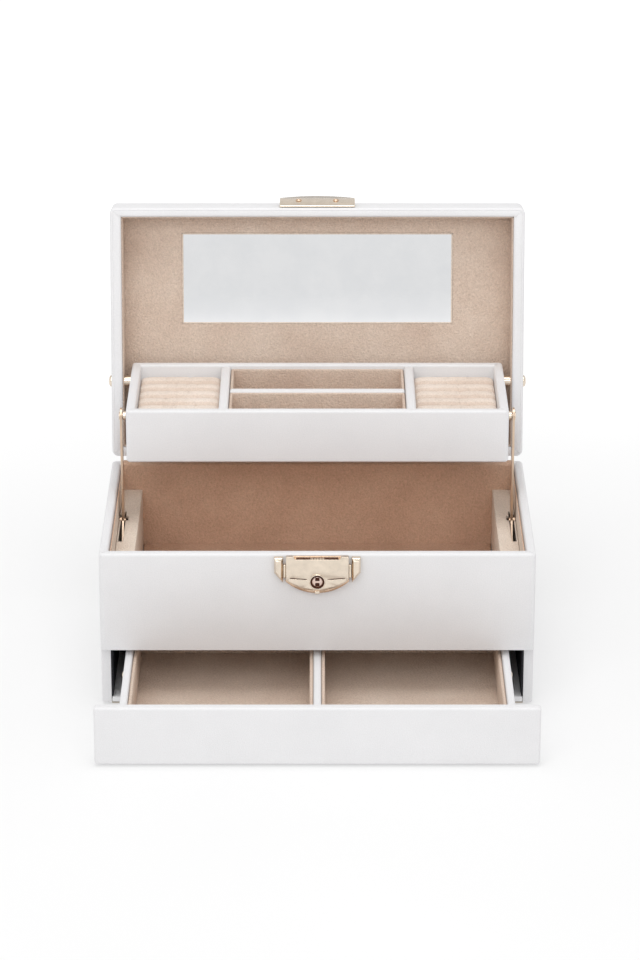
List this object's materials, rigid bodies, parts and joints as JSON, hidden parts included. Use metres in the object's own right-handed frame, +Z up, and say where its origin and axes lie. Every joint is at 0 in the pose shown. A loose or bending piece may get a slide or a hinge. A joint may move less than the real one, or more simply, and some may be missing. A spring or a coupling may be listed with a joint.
{
  "type": "jewellery box",
  "caption": "Rectangular lined jewellery chest with a mirrored flip lid, a lift-up ring tray on side arms, a half-moon front lock and a full-width divided drawer, all open.",
  "frame": {"origin": "centre of the case's underside, on the felt foot", "axes": "+X to the chest's right seen from the front, +Y towards the hinges at the back, +Z up"},
  "size_m": [0.2338, 0.2596, 0.2311],
  "materials": {
    "leatherette": "fine-grained white leatherette over board, satin",
    "suede": "tan brushed suede lining",
    "velvet": "cream velvet over foam rolls",
    "felt": "matt felt foot",
    "gold": "polished pale gold plate",
    "mirror": "silvered glass"
  },
  "bodies": {
    "case": {"base_felt": "felt", "base_board": "leatherette", "back_panel": "leatherette", "front_panel": "leatherette", "shelf_board": "leatherette", "compartment_lining": "suede", "compartment_floor_pad": "suede", "lock_base_plate": "gold", "lock_cover_plate": "gold", "side_panel_left": "leatherette", "side_panel_right": "leatherette", "riser_left": "suede", "riser_right": "suede", "arm_pivot_pin_left": "gold", "arm_pivot_pin_right": "gold", "hinge_case_leaf_left": "gold", "hinge_case_leaf_right": "gold", "hinge_pin_left": "gold", "hinge_pin_right": "gold"},
    "lid": {"lid_top_panel": "leatherette", "lid_front_rail": "leatherette", "lid_back_rail": "leatherette", "lid_lining_panel": "suede", "mirror": "mirror", "strike_plate": "gold", "lid_side_rail_left": "leatherette", "lid_side_rail_right": "leatherette", "tray_pivot_rivet_left": "gold", "tray_pivot_rivet_right": "gold", "hinge_lid_leaf_left": "gold", "hinge_lid_leaf_right": "gold"},
    "tray": {"tray_bottom": "leatherette", "tray_front": "leatherette", "tray_back": "leatherette", "tray_divider_long": "leatherette", "tray_liner": "suede", "tray_side_left": "leatherette", "tray_side_right": "leatherette", "tray_divider_left": "leatherette", "tray_divider_right": "leatherette", "ring_pad_left": "velvet", "ring_pad_right": "velvet"},
    "drawer": {"drawer_front": "leatherette", "drawer_bottom": "leatherette", "drawer_back": "leatherette", "drawer_divider": "leatherette", "drawer_liner": "suede", "drawer_side_left": "leatherette", "drawer_side_right": "leatherette", "drive_pin_left": "gold", "drive_pin_right": "gold", "glide_button_left": "gold", "glide_button_right": "gold"},
    "arm_left": {"lift_arm_left": "gold", "arm_rivet_left": "gold"},
    "arm_right": {"lift_arm_right": "gold", "arm_rivet_right": "gold"},
    "release_left": {"release_slide_left": "gold"},
    "release_right": {"release_slide_right": "gold"},
    "key": {"key_barrel": "gold"}
  },
  "joints": [
    {"name": "lid_hinge", "type": "hinge", "parent": "case", "child": "lid", "pos_m": [0, 0.0709, 0.0902], "axis": [1, 0, 0], "range_deg": [0, 99.7]},
    {"name": "tray_pivot", "type": "hinge", "parent": "lid", "child": "tray", "pos_m": [0, 0.0833, 0.1315], "axis": [1, 0, 0], "range_deg": [-99.8, 0]},
    {"name": "drawer_slide", "type": "slide", "parent": "case", "child": "drawer", "axis": [0, 1, 0], "range_m": [0, 0.0721]},
    {"name": "arm_left_pivot", "type": "hinge", "parent": "case", "child": "arm_left", "pos_m": [-0.1066, 0.02066, 0.0724], "axis": [1, 0, 0], "range_deg": [0, 65.15]},
    {"name": "arm_right_pivot", "type": "hinge", "parent": "case", "child": "arm_right", "pos_m": [0.1066, 0.02066, 0.0724], "axis": [1, 0, 0], "range_deg": [0, 65.15]},
    {"name": "release_left_slide", "type": "slide", "parent": "case", "child": "release_left", "axis": [-1, 0, 0], "range_m": [0, 0.003], "stiffness_N_per_m": 150, "springref_m": -0.001},
    {"name": "release_right_slide", "type": "slide", "parent": "case", "child": "release_right", "axis": [1, 0, 0], "range_m": [0, 0.003], "stiffness_N_per_m": 150, "springref_m": -0.001},
    {"name": "key_turn", "type": "hinge", "parent": "case", "child": "key", "pos_m": [0, -0.073, 0.075], "axis": [0, 1, 0], "range_deg": [0, 90]}
  ],
  "couplings": [
    {"joint": "tray_pivot", "follows": "lid_hinge", "ratio": -1},
    {"joint": "drawer_slide", "follows": "lid_hinge", "m_per_rad": 0.041377},
    {"joint": "arm_left_pivot", "follows": "lid_hinge", "ratio": 0.65245},
    {"joint": "arm_right_pivot", "follows": "lid_hinge", "ratio": 0.65245}
  ]
}
